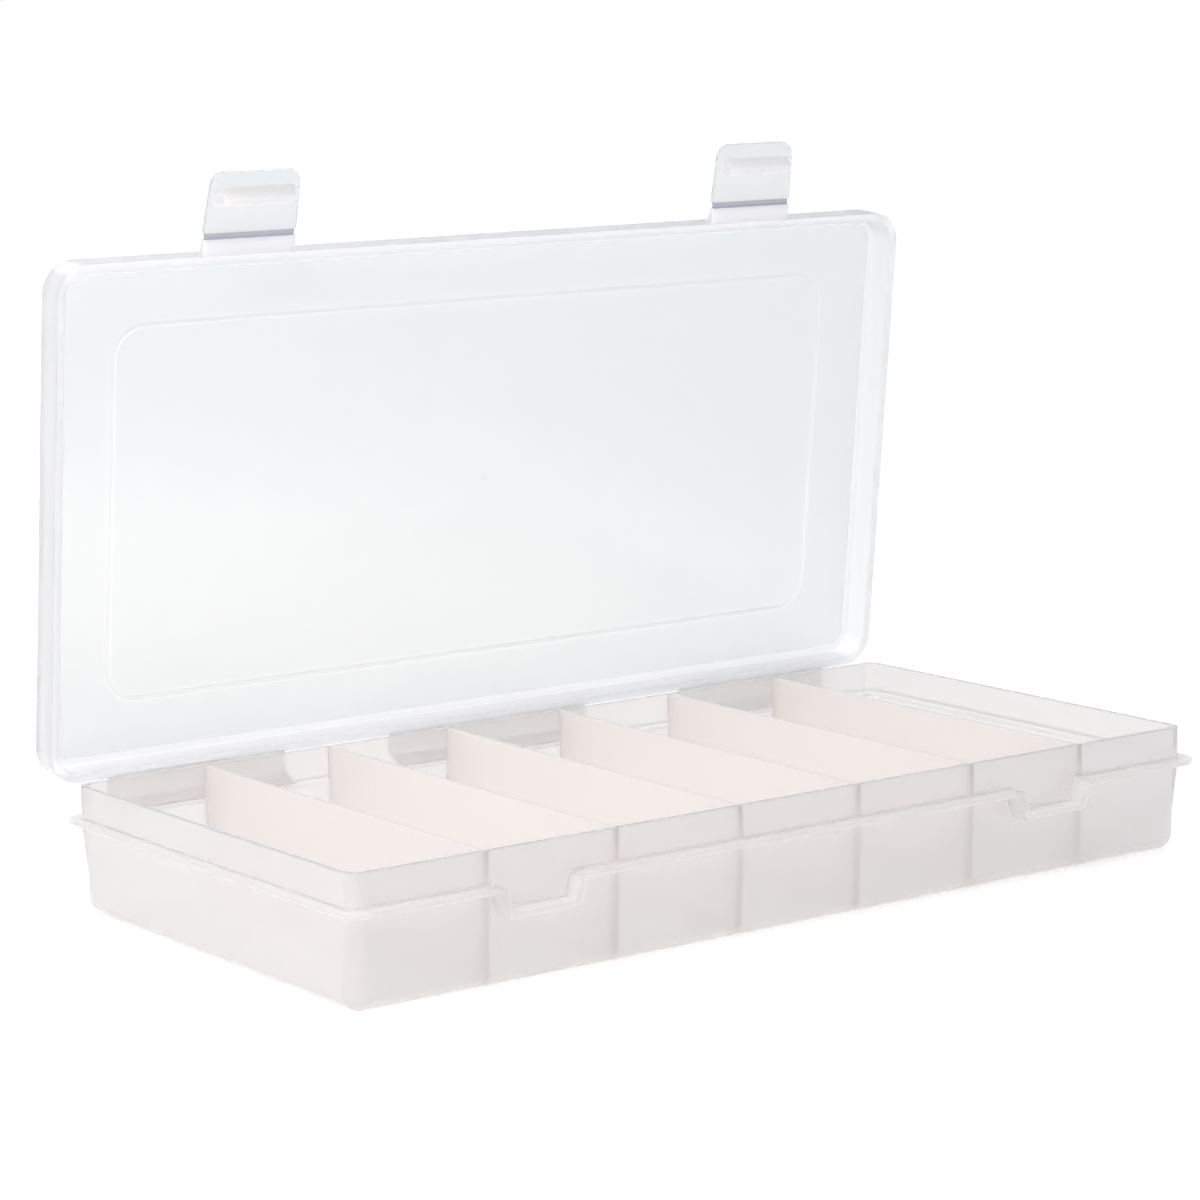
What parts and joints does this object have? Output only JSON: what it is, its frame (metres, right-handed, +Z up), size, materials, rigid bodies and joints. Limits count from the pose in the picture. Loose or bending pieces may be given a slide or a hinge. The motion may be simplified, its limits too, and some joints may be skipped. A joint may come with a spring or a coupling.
{
  "type": "compartment storage box",
  "caption": "Shallow translucent storage box with a row of equal full-depth compartments, a lid on living hinges and snap latches on the lid's front edge.",
  "frame": {"origin": "centre of the tray's flat underside", "axes": "+X along the row of compartments, +Y to the hinge at the back, +Z up out of the compartments"},
  "size_m": [0.288, 0.1573, 0.1987],
  "materials": {
    "natural_polypropylene": "milky translucent, moulded satin"
  },
  "bodies": {
    "tray": {"tray_shell": "natural_polypropylene", "divider_1": "natural_polypropylene", "divider_2": "natural_polypropylene", "divider_3": "natural_polypropylene", "divider_4": "natural_polypropylene", "divider_5": "natural_polypropylene", "divider_6": "natural_polypropylene", "hinge_tray_leaf_left": "natural_polypropylene", "hinge_tray_leaf_centre": "natural_polypropylene", "hinge_tray_leaf_right": "natural_polypropylene", "latch_keeper_left": "natural_polypropylene", "latch_keeper_right": "natural_polypropylene"},
    "lid": {"lid_shell": "natural_polypropylene", "hinge_lid_leaf_left": "natural_polypropylene", "hinge_lid_leaf_centre": "natural_polypropylene", "hinge_lid_leaf_right": "natural_polypropylene", "latch_root_left": "natural_polypropylene", "latch_root_right": "natural_polypropylene"},
    "latch_left": {"latch_flap_left": "natural_polypropylene", "latch_hook_left": "natural_polypropylene"},
    "latch_right": {"latch_flap_right": "natural_polypropylene", "latch_hook_right": "natural_polypropylene"}
  },
  "joints": [
    {"name": "lid_hinge", "type": "hinge", "parent": "tray", "child": "lid", "pos_m": [0, 0.07635, 0.02905], "axis": [1, 0, 0], "range_deg": [-96.2, 83.8]},
    {"name": "latch_hinge_left", "type": "hinge", "parent": "lid", "child": "latch_left", "pos_m": [-0.0861, 0.05876, 0.18074], "axis": [1, 0, 0], "range_deg": [-10, 84], "stiffness_Nm_per_rad": 0.004},
    {"name": "latch_hinge_right", "type": "hinge", "parent": "lid", "child": "latch_right", "pos_m": [0.0861, 0.05876, 0.18074], "axis": [1, 0, 0], "range_deg": [-3, 91], "stiffness_Nm_per_rad": 0.004}
  ]
}
